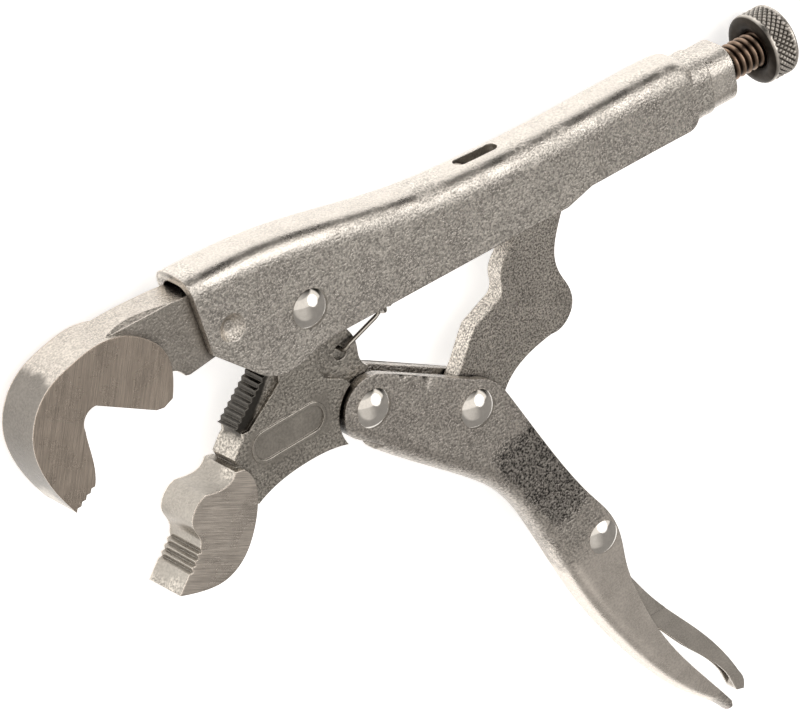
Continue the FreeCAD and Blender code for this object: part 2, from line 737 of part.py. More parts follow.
# ---------------------------------------------------------------------------------------------
# Toggle link: plate between the lower handle and the adjusting screw
# ---------------------------------------------------------------------------------------------

def build_toggle_link():
    """Waisted plate with a hump in front and a belly behind."""
    body = new_body("toggle_link")
    end = size("link_end_radius")
    plate = Outline(on_circle(LINK_PIVOT, 6.6, 150))
    plate.spline((33.4, -37.0), (36.6, -33.4), (38.8, -30.2), (41.6, -26.4))
    plate.line((49.0, -23.2))
    plate.spline((50.3, -21.2), (50.5, -18.0), (52.0, -15.4), (56.4, -11.2))
    plate.line(on_circle(LINK_END, end, 172))
    plate.arc(on_circle(LINK_END, end, 90), on_circle(LINK_END, end, -12))
    plate.line((69.2, -10.6))
    plate.spline((66.6, -15.4), (65.0, -20.6), (65.5, -24.6), (67.3, -29.2), (67.4, -33.0),
                 (65.2, -36.2), (60.6, -37.4))
    plate.spline((54.0, -38.9), (49.0, -41.4), (45.4, -45.6))
    plate.spline((42.6, -48.4), on_circle(LINK_PIVOT, 6.6, -70))
    plate.arc(on_circle(LINK_PIVOT, 6.6, -160), on_circle(LINK_PIVOT, 6.6, 150))
    pad(body, outline_sketch(body, "plate", plate), "link_thickness")
    drill(body, "link_bore", ("link_pivot_x", "link_pivot_y"), "rivet_radius + pin_gap")
    return body


# ---------------------------------------------------------------------------------------------
# Release lever: folded sheet inside the lower handle, with its tail standing out
# ---------------------------------------------------------------------------------------------

LEVER_BACK = [(70.4, -105.4), (73.6, -110.8), (77.4, -116.2), (86.2, -127.7), (91.6, -136.4),
              (94.4, -142.4)]
LEVER_EDGE = [(91.6, -142.4), (88.2, -136.8), (82.6, -130.4), (77.4, -123.6), (72.4, -117.6),
              (66.4, -112.0)]


def build_release_lever():
    """Narrow channel, open towards the lower handle's spine."""
    body = new_body("release_lever")
    back = [stretched(point) for point in LEVER_BACK]
    edge = [stretched(point) for point in LEVER_EDGE]
    tip = stretched((94.9, -147.2))
    head = LEVER_PIVOT
    width = "grip_width - 2 * grip_sheet - 2 * side_gap"

    side = Outline((head.x + 4.2, head.y - 3.0))
    side.spline((head.x + 4.6, head.y - 9.4), *back)
    side.spline((back[-1][0] + 0.9, back[-1][1] - 2.8), tip)
    side.line((tip[0] - 2.0, tip[1] + 0.6), edge[0])
    side.spline(*edge[1:])
    side.spline((head.x - 2.6, head.y - 14.0), (head.x - 5.2, head.y))
    side.spline((head.x - 7.2, head.y + 10.0), (head.x - 11.4, head.y + 22.0))
    side.line((head.x - 6.8, head.y + 23.4))
    side.spline((head.x - 0.6, head.y + 10.0), (head.x + 3.2, head.y + 3.0),
                (head.x + 4.2, head.y - 3.0))
    pad(body, outline_sketch(body, "lever_side", side), width)
    beyond = Outline((head.x, head.y - 27.0)).line((head.x + 60.0, head.y - 27.0))
    beyond.line((head.x + 60.0, head.y - 80.0), (head.x, head.y - 80.0))
    for name, offset in (("tail_side_near", 1.0), ("tail_side_far", -1.0)):
        narrow(body, name, beyond, offset * size("lever_tail") / 2)
    hollow = Outline((head.x + 2.6, head.y - 4.0))
    hollow.spline((head.x + 3.2, head.y - 9.8), *[(x - 1.3, y - 0.9) for x, y in back])
    hollow.line((edge[0][0] + 0.6, edge[0][1] - 6.0), (edge[2][0] - 4.0, edge[2][1] - 4.0))
    hollow.line((head.x - 3.0, head.y - 26.0), (head.x - 4.0, head.y - 8.0))
    pocket(body, outline_sketch(body, "lever_hollow", hollow), "lever_tail - 1.2 * lever_sheet")
    drill(body, "lever_bore", ("lever_pivot_x", "lever_pivot_y"), "pin_radius + pin_gap")
    return body


# ---------------------------------------------------------------------------------------------
# Turned pieces: rivets, bush, adjusting screw and its knob
# ---------------------------------------------------------------------------------------------

def build_rivet(label, at, shank, head, dome, width):
    """Rivet with a domed head on both sides of a stack of a given width."""
    body = new_body(label)
    half = size(width) / 2
    shank_radius = size(shank)
    head_radius = size(head)
    dome_height = size(dome)
    ball = (head_radius ** 2 + dome_height ** 2) / (2 * dome_height)
    flat = 0.5
    top = half + dome_height - ball + math.sqrt(ball ** 2 - flat ** 2)
    shoulder = head_radius * 0.7
    rise = half + dome_height - ball + math.sqrt(ball ** 2 - shoulder ** 2)
    section = Outline((0, -top)).line((flat, -top))
    section.arc((shoulder, -rise), (head_radius, -half))
    section.line((shank_radius, -half), (shank_radius, half), (head_radius, half))
    section.arc((shoulder, rise), (flat, top))
    section.line((0, top))
    revolve(body, outline_sketch(body, label + "_section", section, "XZ_Plane"), "V_Axis")
    return body, at


def build_threaded_bush():
    """Flat-sided nut with a round spigot pressed into the handle's neck."""
    body = new_body("threaded_bush")
    tail = size("handle_length")
    step = tail + size("neck_length") + size("seat_gap")
    end = step + size("bush_length")
    bore = size("screw_radius") + size("pin_gap")
    half = size("bush_height") / 2
    spigot = size("bush_spigot") - size("seat_gap")
    front = tail - 5.0 + size("seat_gap")
    sleeve(body, "bush_block", step, size("bush_length") - size("seat_gap"),
           size("handle_width") / 2 - 0.15, half)
    core = Outline((front, 0)).line((front, spigot), (step + 1.0, spigot), (step + 1.0, 0))
    revolve(body, outline_sketch(body, "bush_spigot_section", core), "H_Axis")
    hole = Outline((front - 1.0, 0)).line((front - 1.0, bore), (end + 1.0, bore), (end + 1.0, 0))
    revolve(body, outline_sketch(body, "bush_bore", hole), "H_Axis", cut=True)
    return body


def build_adjusting_screw():
    """Threaded rod from the toggle link to the inside of the knob."""
    body = new_body("adjusting_screw")
    radius = size("screw_radius")
    tip = LINK_END.x + size("link_end_radius") + size("screw_gap")
    end = knob_start() + size("knob_length") - 1.4
    section = Outline((tip, 0)).arc((tip + 0.35, 1.8), (tip + 1.4, 3.1))
    section.line((tip + 2.3, radius), (end - 0.5, radius), (end, radius - 0.5), (end, 0))
    revolve(body, outline_sketch(body, "screw_section", section), "H_Axis")
    return body


def knob_start():
    """Where the knob begins along the screw."""
    return size("handle_length") + size("neck_length") + size("bush_length") + size("screw_bare")


def build_adjusting_knob():
    """Knurled round knob with a blind bore and a dished front face."""
    body = new_body("adjusting_knob")
    start = knob_start()
    end = start + size("knob_length")
    bore = size("screw_radius") + size("pin_gap")
    outer = size("knob_radius")
    section = Outline((start + 1.5, bore))
    section.spline((start + 0.5, bore + 0.7), (start, bore + 1.7))
    section.line((start, outer - 1.3))
    section.arc((start + 0.4, outer - 0.45), (start + 1.2, outer))
    section.line((end - 1.0, outer))
    section.arc((end - 0.3, outer - 0.35), (end, outer - 1.2))
    section.line((end, 0), (end - 1.3, 0), (end - 1.3, bore))
    revolve(body, outline_sketch(body, "knob_section", section), "H_Axis")
    return body


# ---------------------------------------------------------------------------------------------
# Tension spring between the lower jaw's ear and the upper handle's tab
# ---------------------------------------------------------------------------------------------

def rod(radius, *points):
    """Round wire along straight runs, with a ball at each bend."""
    pieces = []
    for start, end in zip(points, points[1:]):
        pieces.append(Part.makeCylinder(radius, start.distanceToPoint(end), start, end - start))
        pieces.append(Part.makeSphere(radius, end))
    return pieces


def build_tension_spring():
    """A sleeve for the coils, with a straight wire to the ear and a hook on the tab."""
    wire = size("spring_wire") / 2
    coil = size("spring_radius")
    eye = SPRING_EYE
    tab_x = size("tab_x")
    first = eye + Vector(11.2, 3.9, 0)
    last = Vector(tab_x - 4.6, web_height(tab_x) - 7.0, 0)
    along = (last - first).normalize()
    side = Vector(-along.y, along.x, 0)
    length = first.distanceToPoint(last)

    sleeve = Part.makeCylinder(coil, length, first, along)
    core = Part.makeCylinder(coil - 2 * wire, length, first, along)
    near = Vector(0, 0, coil - wire)
    lug = size("lug_width") / 2 + 2 * wire
    lower = rod(wire, first + near + along * 0.5, eye + Vector(1.9, 1.9, lug),
                eye + Vector(0.5, 0.5, lug), eye + Vector(0.5, 0.5, -lug))
    upper = rod(wire, last + side * (coil - wire) - along * 0.5, last + side * 1.4 + along * 1.2,
                last + along * 2.6 - side * 0.2)
    spring = DOCUMENT.addObject("Part::Feature", "tension_spring")
    spring.Shape = sleeve.cut(core).fuse(lower + upper).removeSplitter()
    return spring


# ---------------------------------------------------------------------------------------------
# The whole tool
# ---------------------------------------------------------------------------------------------

def overall_box(pieces):
    """Bounding box of every piece, from its mesh as the tools will see it."""
    box = FreeCAD.BoundBox()
    for piece in pieces:
        for point in piece.Shape.tessellate(0.01)[0]:
            box.add(point)
    return box


def check(pieces):
    """Stop if anything in the document failed or a piece isn't one or more valid solids."""
    DOCUMENT.recompute()
    for item in DOCUMENT.Objects:
        if "Invalid" in item.State or "Error" in item.State:
            raise RuntimeError(f"{item.Name}: {item.State}")
    for piece in pieces:
        if piece.Shape.isNull() or not piece.Shape.isValid():
            raise RuntimeError(f"{piece.Label} has no valid shape")


def main():
    """Build every piece, check it, move it to the shared frame and write it."""
    pieces = [
        build_upper_handle(),
        build_upper_jaw(),
        build_lower_jaw(),
        build_lower_handle(),
        build_toggle_link(),
        build_release_lever(),
        build_threaded_bush(),
        build_adjusting_screw(),
        build_adjusting_knob(),
        build_tension_spring(),
    ]
    rivets = [
        ("main_rivet", MAIN_PIVOT, "rivet_radius", "rivet_head", "rivet_dome", "handle_width"),
        ("grip_rivet", GRIP_PIVOT, "rivet_radius", "rivet_head", "rivet_dome", "grip_width"),
        ("link_rivet", LINK_PIVOT, "rivet_radius", "rivet_head", "rivet_dome", "grip_width"),
        ("lever_rivet", LEVER_PIVOT, "pin_radius", "pin_head", "pin_dome", "grip_width"),
    ]
    for label, at, shank, head, dome, width in rivets:
        rivet, place = build_rivet(label, at, shank, head, dome, width)
        rivet.Placement = Placement(place, Rotation())
        pieces.append(rivet)
    check(pieces)

    box = overall_box(pieces)
    shift = Vector(-box.Center.x, -box.Center.y, -box.ZMin)
    print("origin shift", round(shift.x, 5), round(shift.y, 5), round(shift.z, 5))
    for piece in pieces:
        piece.Placement = Placement(piece.Placement.Base + shift, Rotation())
    check(pieces)
    os.makedirs("parts", exist_ok=True)
    for piece in pieces:
        piece.Shape.exportStep(f"parts/{piece.Label}.step")
        print(piece.Label, len(piece.Shape.Solids), round(piece.Shape.Volume, 1))


main()
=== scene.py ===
"""Locking pliers with open jaws, lying on a pale bench.

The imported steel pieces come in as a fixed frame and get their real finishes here. The thread,
the knurled knob and the coiled spring, which the frame holds as plain solids, are made in full.
"""

import logging
import math
from dataclasses import dataclass
from enum import Enum

import bpy
from mathutils import Matrix, Vector


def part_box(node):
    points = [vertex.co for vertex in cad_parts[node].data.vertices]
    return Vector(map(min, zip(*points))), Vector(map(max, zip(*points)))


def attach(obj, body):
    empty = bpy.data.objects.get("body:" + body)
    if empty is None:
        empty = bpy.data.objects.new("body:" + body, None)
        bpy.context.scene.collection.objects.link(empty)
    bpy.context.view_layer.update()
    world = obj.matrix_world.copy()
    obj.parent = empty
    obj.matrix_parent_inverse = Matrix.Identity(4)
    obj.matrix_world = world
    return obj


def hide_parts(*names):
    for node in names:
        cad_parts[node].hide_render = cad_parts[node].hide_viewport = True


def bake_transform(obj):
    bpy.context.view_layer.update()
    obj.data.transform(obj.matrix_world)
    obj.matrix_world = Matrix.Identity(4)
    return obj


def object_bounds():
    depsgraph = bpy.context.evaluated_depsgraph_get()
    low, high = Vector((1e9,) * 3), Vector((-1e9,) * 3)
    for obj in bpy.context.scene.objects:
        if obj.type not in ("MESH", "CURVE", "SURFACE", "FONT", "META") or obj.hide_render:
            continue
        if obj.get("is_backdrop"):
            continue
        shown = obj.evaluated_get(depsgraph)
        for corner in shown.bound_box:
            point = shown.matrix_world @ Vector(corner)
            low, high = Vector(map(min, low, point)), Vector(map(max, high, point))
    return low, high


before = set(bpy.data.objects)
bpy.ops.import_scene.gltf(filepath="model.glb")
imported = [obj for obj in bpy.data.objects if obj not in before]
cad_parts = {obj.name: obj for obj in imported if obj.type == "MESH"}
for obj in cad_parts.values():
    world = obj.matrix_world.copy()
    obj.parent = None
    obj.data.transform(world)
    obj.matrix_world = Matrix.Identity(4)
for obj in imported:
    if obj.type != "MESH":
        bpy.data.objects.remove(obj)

LOG = logging.getLogger("locking_pliers")
MM = 0.001


# ---------------------------------------------------------------------------------------------
# Places: everything is counted from the main rivet's axis in the tool's mid-plane
# ---------------------------------------------------------------------------------------------

def centre(node: str) -> Vector:
    """Give the middle of a node's box, in metres.

    Args:
        node: Name of a node of the frame.

    Returns:
        The middle of its box.
    """
    low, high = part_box(node)
    return (low + high) / 2


DATUM = centre("main_rivet")


def at(x: float, y: float, z: float = 0.0) -> Vector:
    """Turn millimetres from the main rivet into a place in the frame.

    Args:
        x: Along the adjusting screw, towards the knob.
        y: From the lower handle to the upper one.
        z: Along the rivets, from the mid-plane.

    Returns:
        The place in metres.
    """
    return DATUM + Vector((x, y, z)) * MM


# ---------------------------------------------------------------------------------------------
# Nodes and colours
# ---------------------------------------------------------------------------------------------

def add(tree: bpy.types.NodeTree, kind: str, inputs: dict | None = None,
        **settings: object) -> bpy.types.Node:
    """Add a node, set its properties and link or set its inputs.

    Args:
        tree: The tree that gets the node.
        kind: Blender's name of the node's type.
        inputs: Socket name or number to a value, or to the output socket that feeds it.
        settings: Properties of the node.

    Returns:
        The new node.
    """
    node = tree.nodes.new(kind)
    for name, value in settings.items():
        setattr(node, name, value)
    for key, value in (inputs or {}).items():
        if isinstance(value, bpy.types.NodeSocket):
            tree.links.new(value, node.inputs[key])
        else:
            node.inputs[key].default_value = value
    return node


def linear(code: str) -> tuple[float, float, float, float]:
    """Turn an sRGB hex colour into linear red, green, blue and a full alpha."""
    def channel(text: str) -> float:
        """Turn one pair of hex digits into a linear value."""
        value = int(text, 16) / 255
        return value / 12.92 if value <= 0.04045 else ((value + 0.055) / 1.055) ** 2.4
    return channel(code[1:3]), channel(code[3:5]), channel(code[5:7]), 1.0


# ---------------------------------------------------------------------------------------------
# Finishes
# ---------------------------------------------------------------------------------------------

WEAR_AND_HIGHLIGHT_TURN = 0.80      # cosine between the true and the rounded normal on a fully worn edge with its full painted highlight
WEAR_AND_HIGHLIGHT_GAIN = 0.22     # how much brighter such an edge is painted, for worn plating and a painted highlight
WEAR_SHINE = 0.12     # and how much smoother
MOTTLE_SIZE = 6.0     # slow mottling of the plating, in mm
PAINTED_SHADE_REACH = 2.2      # how far from a joint the painted shade reaches, in mm
BUMPS = (0.38, 0.62)  # heights of the skin's noise at its darkest and its brightest
FLAT = (0.75, 0.97)   # sideways share of the normal from which a face counts as a flat side and takes the flat sides' painted shade
RAGGED = 0.9          # how far noise wears the edge of a patch
PATCH_EDGE = (1.55, 1.25)  # worn share of a patch's half size where it starts and is full


def new_material(name: str) -> tuple[bpy.types.Material, bpy.types.NodeTree]:
    """Make a material with an empty tree.

    Args:
        name: Name of the material.

    Returns:
        The material and its tree.
    """
    material = bpy.data.materials.new(name)
    material.use_nodes = True
    material.node_tree.nodes.clear()
    return material, material.node_tree


def noise(tree: bpy.types.NodeTree, where: bpy.types.NodeSocket, size: float, detail: float,
          roughness: float = 0.5) -> bpy.types.NodeSocket:
    """Lay noise over a surface.

    Args:
        tree: The tree.
        where: Coordinates in metres.
        size: Size of the noise's cells, in mm.
        detail: Number of finer layers.
        roughness: Strength of each finer layer.

    Returns:
        The noise, mostly between 0.3 and 0.7.
    """
    return add(tree, "ShaderNodeTexNoise",
               {"Vector": where, "Scale": 1 / (size * MM), "Detail": detail,
                "Roughness": roughness}).outputs[0]


def spread(tree: bpy.types.NodeTree, value: bpy.types.NodeSocket, low: float, high: float
           ) -> bpy.types.NodeSocket:
    """Spread noise over a range.

    Args:
        tree: The tree.
        value: The noise.
        low: What its valleys become.
        high: What its peaks become.

    Returns:
        The value between low and high.
    """
    return add(tree, "ShaderNodeMapRange",
               {"Value": value, "From Min": 0.3, "From Max": 0.7,
                "To Min": low, "To Max": high}).outputs[0]


@dataclass(frozen=True)
class Brushing:
    """Scratches of a belt or wheel on the faces that stand out furthest sideways.

    Attributes:
        level: Distance from the mid-plane beyond which a face is ground, in mm.
        heading: Direction of the scratches, in degrees from +X towards +Y.
        colour: sRGB colour of the ground faces.
        contrast: How strongly the scratches show in the colour.
        width: Distance between scratches, in mm.
    """

    level: float
    heading: float
    colour: str
    contrast: float = 0.24
    width: float = 0.15


@dataclass(frozen=True)
class Patch:
    """A stretch of a surface that was worked, rubbed or stained differently from the rest.

    Attributes:
        centre: Its middle, in mm from the datum.
        half: Half its length, width and depth, in mm.
        heading: Direction of its length, in degrees from +X towards +Y.
        tone: How bright it is beside the rest.
        contrast: How strongly its bumps show in the colour.
    """

    centre: tuple[float, float, float]
    half: tuple[float, float, float]
    heading: float
    tone: float
    contrast: float = 0.3

    def mask(self, tree: bpy.types.NodeTree, where: bpy.types.NodeSocket,
             ragged: bpy.types.NodeSocket) -> bpy.types.NodeSocket:
        """Mark the patch.

        Args:
            tree: The material's tree.
            where: Object coordinates.
            ragged: A slow noise that wears the patch's edge.

        Returns:
            A value of 1 inside the patch that falls to 0 at its edge.
        """
        local = add(tree, "ShaderNodeVectorMath", {0: where, 1: at(*self.centre)},
                    operation="SUBTRACT")
        turned = add(tree, "ShaderNodeVectorRotate",
                     {"Vector": local.outputs[0], "Angle": -math.radians(self.heading)},
                     rotation_type="Z_AXIS")
        share = add(tree, "ShaderNodeVectorMath",
                    {0: turned.outputs[0], 1: tuple(side * MM for side in self.half)},
                    operation="DIVIDE")
        away = add(tree, "ShaderNodeVectorMath", {0: share.outputs[0]}, operation="ABSOLUTE")
        part = add(tree, "ShaderNodeSeparateXYZ", {0: away.outputs[0]}).outputs
        wide = add(tree, "ShaderNodeMath", {0: part[0], 1: part[1]}, operation="MAXIMUM")
        worn = add(tree, "ShaderNodeMath", {0: ragged, 1: RAGGED, 2: wide.outputs[0]},
                   operation="MULTIPLY_ADD")
        edge = add(tree, "ShaderNodeMapRange",
                   {"Value": worn.outputs[0], "From Min": PATCH_EDGE[0],
                    "From Max": PATCH_EDGE[1]},
                   interpolation_type="SMOOTHSTEP")
        deep = add(tree, "ShaderNodeMath", {0: part[2], 1: 1.0}, operation="LESS_THAN")
        return add(tree, "ShaderNodeMath", {0: edge.outputs[0], 1: deep.outputs[0]},
                   operation="MULTIPLY").outputs[0]


@dataclass(frozen=True)
class NickelPlate:
    """Nickel over steel: warm grey, softly glossy, brighter along worn edges that also carry a
    painted highlight, with painted shade in hollows and on the flat sides.

    Attributes:
        name: Name of the material.
        colour: sRGB colour of the open surface.
        shade: sRGB colour of the shade painted into hollows and beside joints.
        roughness: Of the open surface.
        pebble: Size of the skin's bumps, in mm.
        relief: Height of those bumps, in mm.
        edge: Radius over which edges are rounded to the eye, in mm.
        contrast: How strongly the bumps show in the colour.
        side_shade_tone: How bright the flat sides are painted beside the edges and backs, a painted
            shade set by the way the faces point.
        brushing: Ground faces, or None.
        patches: Stretches that differ from the rest.
    """

    name: str
    colour: str
    shade: str
    roughness: float
    pebble: float = 0.45
    relief: float = 0.02
    edge: float = 0.35
    contrast: float = 0.42
    side_shade_tone: float = 1.0
    brushing: Brushing | None = None
    patches: tuple[Patch, ...] = ()

    def build(self) -> bpy.types.Material:
        """Build the material from its real sizes."""
        material, tree = new_material(self.name)
        where = add(tree, "ShaderNodeTexCoord").outputs["Object"]
        facing = add(tree, "ShaderNodeNewGeometry").outputs["Normal"]
        rounded = add(tree, "ShaderNodeBevel", {"Radius": self.edge * MM}, samples=6).outputs[0]
        mottle = noise(tree, where, MOTTLE_SIZE, 4.0)
        height, base, contrast = self.skin(tree, where)
        tone = 1.0
        for patch in self.patches:
            mask = patch.mask(tree, where, mottle)
            tone = add(tree, "ShaderNodeMix", {0: mask, 2: tone, 3: patch.tone}).outputs[0]
            contrast = add(tree, "ShaderNodeMix",
                           {0: mask, 2: contrast, 3: patch.contrast}).outputs[0]

        # Rounded edges catch the light and are where the plating wears bright; their colour is
        # brightened both for that wear and as a painted highlight.
        turn = add(tree, "ShaderNodeVectorMath", {0: rounded, 1: facing}, operation="DOT_PRODUCT")
        wear_and_highlight = add(tree, "ShaderNodeMapRange",
                   {"Value": turn.outputs["Value"], "From Min": 1.0,
                    "From Max": WEAR_AND_HIGHLIGHT_TURN}).outputs[0]
        light = self.brightness(tree, height, contrast, facing,
                                (spread(tree, mottle, 0.90, 1.06), tone))
        worn = add(tree, "ShaderNodeMath", {0: wear_and_highlight, 1: WEAR_AND_HIGHLIGHT_GAIN, 2: light},
                   operation="MULTIPLY_ADD")
        plain = add(tree, "ShaderNodeVectorMath", {0: base, "Scale": worn.outputs[0]},
                    operation="SCALE")
        # Painted shade: hollows and the surface beside joints are darkened towards the shade colour.
        crevice = add(tree, "ShaderNodeAmbientOcclusion", {"Distance": PAINTED_SHADE_REACH * MM}, samples=6)
        painted_shade = add(tree, "ShaderNodeMapRange",
                   {"Value": crevice.outputs["AO"], "From Min": 0.85, "From Max": 0.30})
        colour = add(tree, "ShaderNodeMix",
                     {0: painted_shade.outputs[0], 6: plain.outputs[0], 7: linear(self.shade)},
                     data_type="RGBA")
        rough = spread(tree, mottle, self.roughness - 0.04, self.roughness + 0.05)
        smoother = add(tree, "ShaderNodeMath", {0: wear_and_highlight, 1: -WEAR_SHINE, 2: rough},
                       operation="MULTIPLY_ADD")
        strength = add(tree, "ShaderNodeMath", {0: contrast, 1: self.contrast},
                       operation="DIVIDE")
        bump = add(tree, "ShaderNodeBump",
                   {"Strength": strength.outputs[0], "Distance": self.relief * MM,
                    "Height": height, "Normal": rounded})
        shader = add(tree, "ShaderNodeBsdfPrincipled",
                     {"Base Color": colour.outputs[2], "Metallic": 1.0,
                      "Roughness": smoother.outputs[0], "Normal": bump.outputs[0]})
        add(tree, "ShaderNodeOutputMaterial", {0: shader.outputs[0]})
        return material

    def skin(self, tree: bpy.types.NodeTree, where: bpy.types.NodeSocket) -> tuple:
        """Lay the pebble over the piece and the scratches over its ground faces.

        Args:
            tree: The material's tree.
            where: Object coordinates.

        Returns:
            The height of the skin, its colour and the contrast of its bumps, each a socket or
            one value for the whole piece.
        """
        pebble = noise(tree, where, self.pebble, 3.0, 0.6)
        colour = linear(self.colour)
        if not self.brushing:
            return pebble, colour[:3], self.contrast
        ground = self.ground_mask(tree, where)
        scratches = self.scratches(tree, where)
        height = add(tree, "ShaderNodeMix", {0: ground, 2: pebble, 3: scratches}).outputs[0]
        base = add(tree, "ShaderNodeMix",
                   {0: ground, 6: colour, 7: linear(self.brushing.colour)},
                   data_type="RGBA").outputs[2]
        contrast = add(tree, "ShaderNodeMix",
                       {0: ground, 2: self.contrast, 3: self.brushing.contrast}).outputs[0]
        return height, base, contrast

    def brightness(self, tree: bpy.types.NodeTree, height: bpy.types.NodeSocket,
                   contrast: object, facing: bpy.types.NodeSocket, factors: tuple
                   ) -> bpy.types.NodeSocket:
        """Work out how bright the colour is beside the finish's own.

        Args:
            tree: The material's tree.
            height: Height of the skin.
            contrast: How strongly its bumps show.
            facing: The true normal.
            factors: What else makes the colour brighter or darker.

        Returns:
            The factor for the colour.
        """
        bumps = add(tree, "ShaderNodeMapRange",
                    {"Value": height, "From Min": BUMPS[0], "From Max": BUMPS[1],
                     "To Min": -1.0, "To Max": 1.0}).outputs[0]
        light = add(tree, "ShaderNodeMath", {0: bumps, 1: contrast, 2: 1.0},
                    operation="MULTIPLY_ADD").outputs[0]
        # Painted shade: faces that point sideways, the flat sides, are darkened by the way they
        # point.
        sideways = add(tree, "ShaderNodeSeparateXYZ", {0: facing}).outputs[2]
        flat = add(tree, "ShaderNodeMath", {0: sideways}, operation="ABSOLUTE").outputs[0]
        side = add(tree, "ShaderNodeMapRange",
                   {"Value": flat, "From Min": FLAT[0], "From Max": FLAT[1],
                    "To Min": 1.0, "To Max": self.side_shade_tone}).outputs[0]
        for factor in (*factors, side):
            light = add(tree, "ShaderNodeMath", {0: light, 1: factor},
                        operation="MULTIPLY").outputs[0]
        return light

    def ground_mask(self, tree: bpy.types.NodeTree,
                    where: bpy.types.NodeSocket) -> bpy.types.NodeSocket:
        """Mark the ground side faces.

        Args:
            tree: The material's tree.
            where: Object coordinates.

        Returns:
            A value of 1 on the ground faces and 0 elsewhere.
        """
        height = add(tree, "ShaderNodeSeparateXYZ", {0: where}).outputs[2]
        middle = add(tree, "ShaderNodeMath", {0: height, 1: DATUM.z}, operation="SUBTRACT")
        away = add(tree, "ShaderNodeMath", {0: middle.outputs[0]}, operation="ABSOLUTE")
        return add(tree, "ShaderNodeMath",
                   {0: away.outputs[0], 1: self.brushing.level * MM},
                   operation="GREATER_THAN").outputs[0]

    def scratches(self, tree: bpy.types.NodeTree,
                  where: bpy.types.NodeSocket) -> bpy.types.NodeSocket:
        """Draw long fine scratches along the brushing's heading.

        Args:
            tree: The material's tree.
            where: Object coordinates.

        Returns:
            The height of the scratched face, from 0 to 1.
        """
        turned = add(tree, "ShaderNodeMapping",
                     {"Vector": where, "Rotation": (0, 0, -math.radians(self.brushing.heading))})
        drawn = add(tree, "ShaderNodeVectorMath",
                    {0: turned.outputs[0], 1: (0.02, 1.0, 1.0)}, operation="MULTIPLY")
        return noise(tree, drawn.outputs[0], self.brushing.width, 4.0, 0.7)


@dataclass(frozen=True)
class CutSteel:
    """Cut thread or knurl: darker in the grooves and brighter on the crests.

    Attributes:
        name: Name of the material.
        crest: sRGB colour of the crests.
        root: sRGB colour of the grooves.
        outer: Radius of the crests, in mm.
        depth: Depth of the grooves, in mm.
        roughness: Of the crests.
    """

    name: str
    crest: str
    root: str
    outer: float
    depth: float
    roughness: float = 0.28

    def build(self) -> bpy.types.Material:
        """Build the material from the distance to the screw's axis."""
        material, tree = new_material(self.name)
        where = add(tree, "ShaderNodeTexCoord").outputs["Object"]
        beside = add(tree, "ShaderNodeVectorMath", {0: where, 1: DATUM}, operation="SUBTRACT")
        flat = add(tree, "ShaderNodeVectorMath", {0: beside.outputs[0], 1: (0, 1, 1)},
                   operation="MULTIPLY")
        radius = add(tree, "ShaderNodeVectorMath", {0: flat.outputs[0]}, operation="LENGTH")
        height = add(tree, "ShaderNodeMapRange",
                     {"Value": radius.outputs["Value"],
                      "From Min": (self.outer - self.depth * 0.75) * MM,
                      "From Max": (self.outer - self.depth * 0.08) * MM})
        stain = spread(tree, noise(tree, where, 1.2, 4.0), 0.72, 1.15)
        # The colour goes from the root colour deep in the grooves to the crest colour on the crests.
        mixed = add(tree, "ShaderNodeMix",
                    {0: height.outputs[0], 6: linear(self.root), 7: linear(self.crest)},
                    data_type="RGBA")
        colour = add(tree, "ShaderNodeVectorMath",
                     {0: mixed.outputs[2], "Scale": stain}, operation="SCALE")
        rough = add(tree, "ShaderNodeMapRange",
                    {"Value": height.outputs[0], "To Min": self.roughness + 0.15,
                     "To Max": self.roughness})
        bump = add(tree, "ShaderNodeBump",
                   {"Strength": 1.0, "Distance": 0.008 * MM,
                    "Height": noise(tree, where, 0.25, 2.0)})
        shader = add(tree, "ShaderNodeBsdfPrincipled",
                     {"Base Color": colour.outputs[0], "Metallic": 1.0,
                      "Roughness": rough.outputs[0], "Normal": bump.outputs[0]})
        add(tree, "ShaderNodeOutputMaterial", {0: shader.outputs[0]})
        return material


# The handle's back is rubbed smooth in two straight stretches, and a thin strip across its front
# edge is much darker.
SHEET_NICKEL = NickelPlate(
    "nickel_plated_sheet_satin", "#D8D2CA", "#3A342E", 0.28, pebble=0.46, relief=0.20,
    side_shade_tone=0.80,
    patches=(Patch((3.7, 22.5, 0.0), (32.0, 9.5, 9.0), -7.4, 1.05, contrast=0.12),
             Patch((80.0, 16.8, 0.0), (48.0, 9.5, 9.0), 0.0, 1.05, contrast=0.12),
             Patch((-27.5, 10.0, 0.0), (0.5, 9.0, 8.0), 0.0, 0.22)))
# The lower handle is satin towards its tip, with a coarse dark stretch above it.
GRIP_NICKEL = NickelPlate(
    "nickel_plated_sheet_pebbled", "#B8B2AB", "#332D28", 0.28, pebble=0.5, relief=0.20,
    patches=(Patch((80.0, -112.0, 0.0), (34.0, 22.0, 9.0), -60.0, 1.75, contrast=0.10),
             Patch((50.5, -67.0, 0.0), (14.0, 6.5, 9.0), -62.0, 0.46, contrast=0.95)))
# The hook's outer band is dull where it turns down.
HOOK_NICKEL = NickelPlate(
    "nickel_plated_forging_ground_sides", "#CFC8BF", "#39332D", 0.28, pebble=0.5,
    relief=0.16, contrast=0.22, side_shade_tone=0.72,
    brushing=Brushing(level=5.3, heading=68.0, colour="#D5C7B9"),
    patches=(Patch((-69.0, 1.0, 0.0), (15.0, 7.0, 5.2), 90.0, 0.40, contrast=0.10),))
